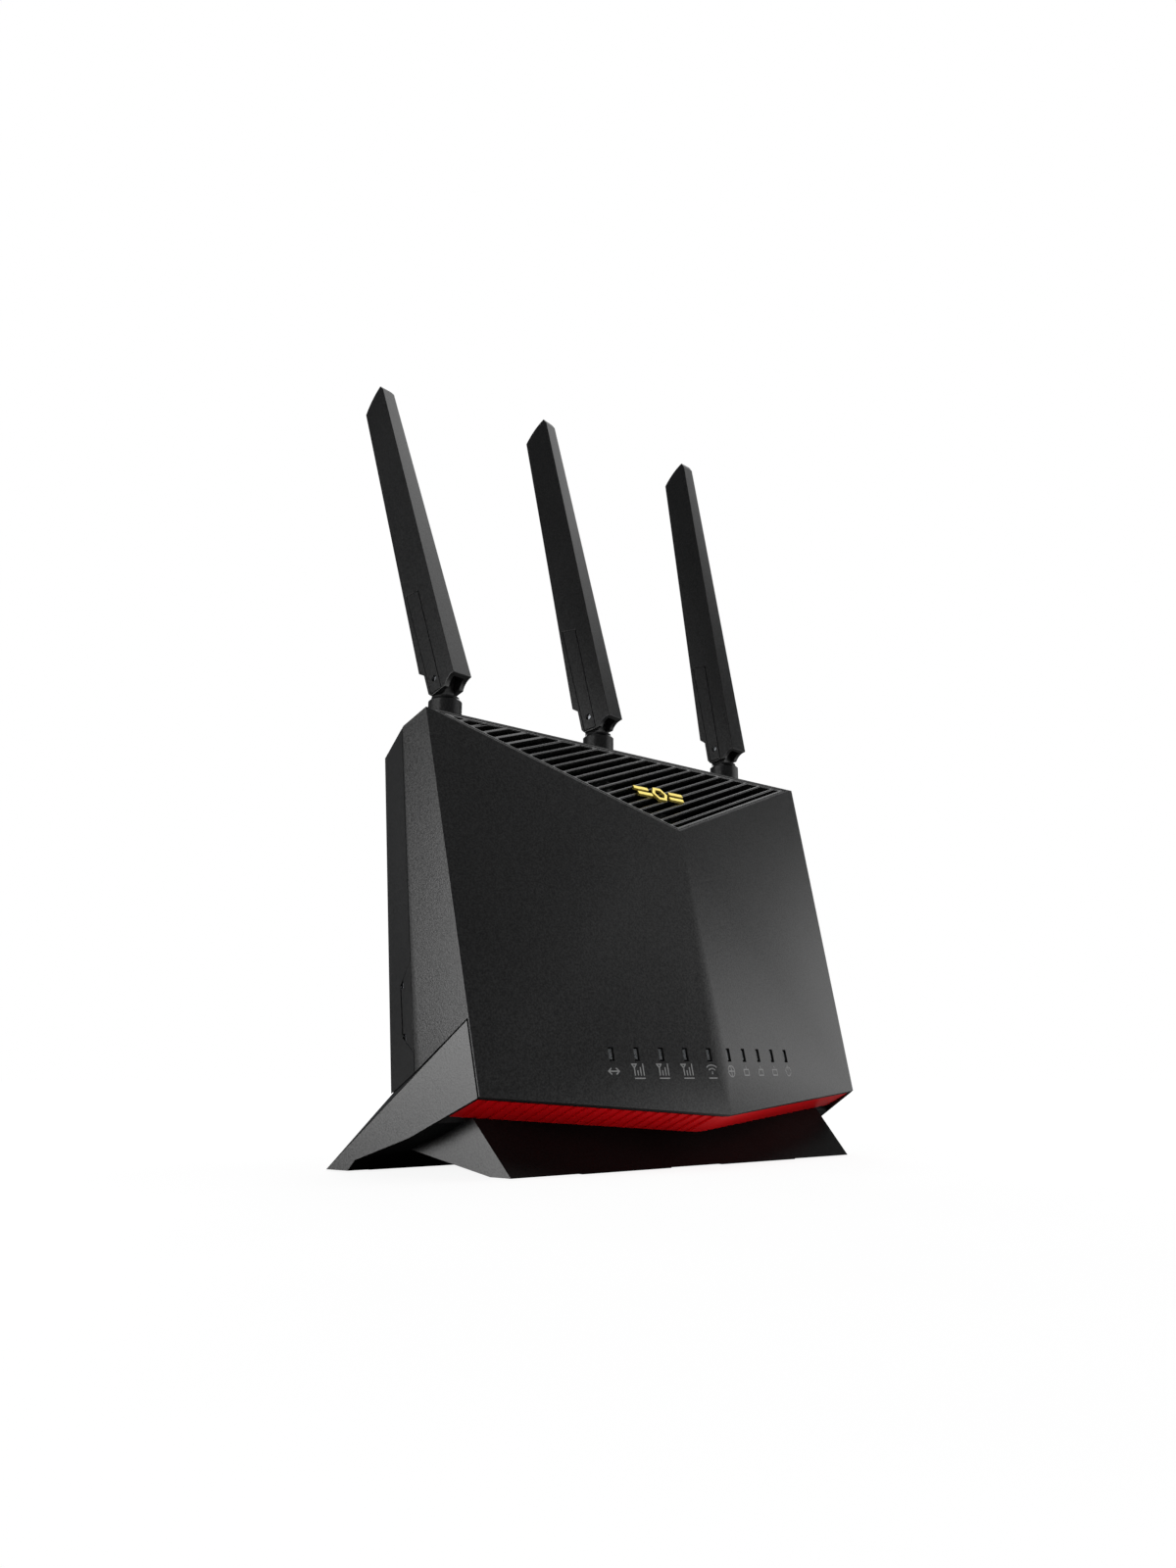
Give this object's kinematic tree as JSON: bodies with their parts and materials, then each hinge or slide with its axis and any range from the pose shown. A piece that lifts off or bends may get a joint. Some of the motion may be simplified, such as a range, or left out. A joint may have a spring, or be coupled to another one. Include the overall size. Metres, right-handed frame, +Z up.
{
  "type": "wireless router",
  "caption": "Upright faceted wireless router on a flared stand, with folding blade antennas, a ribbed top grille, a red chin and network sockets at the back.",
  "frame": {"origin": "centre of the bottom of the bounding box, on the surface the feet stand on", "axes": "+Z up, +Y to the back with the sockets, +X to the right seen from the front"},
  "size_m": [0.2206, 0.1318, 0.3393],
  "materials": {
    "housing_plastic": "fine spark-eroded moulding texture",
    "stand_plastic": "fine spark-eroded moulding texture",
    "grille_plastic": "smooth satin moulding",
    "emblem_gold": "satin gold plating",
    "chin_red": "satin painted moulding",
    "foot_rubber": "matt moulded rubber",
    "port_plastic": "fine moulding texture",
    "antenna_plastic": "fine moulding texture",
    "collar_plastic": "smooth satin moulding",
    "button_plastic": "smooth satin moulding",
    "jack_black": "smooth moulding",
    "wan_blue": "smooth moulding",
    "usb_white": "smooth moulding",
    "contact_gold": "gold flash",
    "shield_steel": "tin-plated sheet",
    "screw_steel": "zinc-plated steel",
    "circuit_board": "solder resist over glass-fibre board",
    "chip_epoxy": "moulded epoxy",
    "thermal_gum": "soft silicone pad",
    "sink_aluminium": "extruded, plain",
    "lead_jacket": "smooth extruded jacket",
    "light_lens": "milky clear moulding"
  },
  "bodies": {
    "housing": {"front_housing": "housing_plastic", "rear_housing": "housing_plastic", "top_grille": "grille_plastic", "emblem": "emblem_gold", "chin_panel": "chin_red", "stand": "stand_plastic", "stand_screws": "screw_steel", "rubber_feet": "foot_rubber", "port_panel": "port_plastic", "antenna_bushings": "grille_plastic", "antenna_leads": "lead_jacket", "wan_jack": "wan_blue", "lan_jacks": "jack_black", "jack_contacts": "contact_gold", "usb_port": "shield_steel", "usb_tongue": "usb_white", "dc_inlet": "jack_black", "dc_pin": "shield_steel", "push_switches": "jack_black", "main_board": "circuit_board", "board_screws": "screw_steel", "processor_chips": "chip_epoxy", "thermal_pads": "thermal_gum", "shield_cans": "shield_steel", "heat_sink": "sink_aluminium", "radio_card": "circuit_board", "card_socket": "jack_black", "light_board": "circuit_board", "light_chips": "light_lens", "light_pipes": "light_lens", "light_pipe_holder": "jack_black", "light_ribbon": "usb_white", "housing_screws": "screw_steel", "sim_door_pin": "screw_steel", "sim_socket": "shield_steel"},
    "antenna_left_base": {"antenna_collar_left": "collar_plastic", "antenna_clip_left": "screw_steel"},
    "antenna_left_arm": {"antenna_blade_left": "antenna_plastic", "antenna_cover_left": "antenna_plastic", "antenna_pin_left": "screw_steel", "antenna_radiator_left": "circuit_board"},
    "antenna_middle_base": {"antenna_collar_middle": "collar_plastic", "antenna_clip_middle": "screw_steel"},
    "antenna_middle_arm": {"antenna_blade_middle": "antenna_plastic", "antenna_cover_middle": "antenna_plastic", "antenna_pin_middle": "screw_steel", "antenna_radiator_middle": "circuit_board"},
    "antenna_right_base": {"antenna_collar_right": "collar_plastic", "antenna_clip_right": "screw_steel"},
    "antenna_right_arm": {"antenna_blade_right": "antenna_plastic", "antenna_cover_right": "antenna_plastic", "antenna_pin_right": "screw_steel", "antenna_radiator_right": "circuit_board"},
    "power_button_body": {"power_button": "button_plastic"},
    "wps_button_body": {"wps_button": "button_plastic"},
    "reset_button_body": {"reset_button": "button_plastic"},
    "sim_door_body": {"sim_door": "housing_plastic"}
  },
  "joints": [
    {"name": "antenna_left_swivel", "type": "hinge", "parent": "housing", "child": "antenna_left_base", "pos_m": [-0.0765, 0.00656, 0.157], "axis": [0, 0, 1], "range_deg": [-178.8, 161.2]},
    {"name": "antenna_left_tilt", "type": "hinge", "parent": "antenna_left_base", "child": "antenna_left_arm", "pos_m": [-0.07677, 0.00834, 0.18], "axis": [-0.9882, -0.153, 0], "range_deg": [-20.8, 69.2]},
    {"name": "antenna_middle_swivel", "type": "hinge", "parent": "housing", "child": "antenna_middle_base", "pos_m": [0, 0.00656, 0.157], "axis": [0, 0, 1], "range_deg": [-182.4, 157.6]},
    {"name": "antenna_middle_tilt", "type": "hinge", "parent": "antenna_middle_base", "child": "antenna_middle_arm", "pos_m": [-0.00039, 0.00832, 0.18], "axis": [-0.9767, -0.2147, 0], "range_deg": [-13.8, 76.2]},
    {"name": "antenna_right_swivel", "type": "hinge", "parent": "housing", "child": "antenna_right_base", "pos_m": [0.0765, 0.00656, 0.157], "axis": [0, 0, 1], "range_deg": [-174.7, 165.3]},
    {"name": "antenna_right_tilt", "type": "hinge", "parent": "antenna_right_base", "child": "antenna_right_arm", "pos_m": [0.07635, 0.00835, 0.18], "axis": [-0.9966, -0.0819, 0], "range_deg": [-9.6, 80.4]},
    {"name": "power_press", "type": "slide", "parent": "housing", "child": "power_button_body", "axis": [0, -0.9979, 0.0644], "range_m": [0, 0.0025], "stiffness_N_per_m": 700},
    {"name": "wps_press", "type": "slide", "parent": "housing", "child": "wps_button_body", "axis": [0, -0.9979, 0.0644], "range_m": [0, 0.0008], "stiffness_N_per_m": 1500},
    {"name": "reset_press", "type": "slide", "parent": "housing", "child": "reset_button_body", "axis": [0, -0.9979, 0.0644], "range_m": [0, 0.0006], "stiffness_N_per_m": 1200},
    {"name": "sim_door_open", "type": "hinge", "parent": "housing", "child": "sim_door_body", "pos_m": [-0.09362, -0.00298, 0.05235], "axis": [0.0256, -0.1287, -0.9913], "range_deg": [0, 90]}
  ]
}
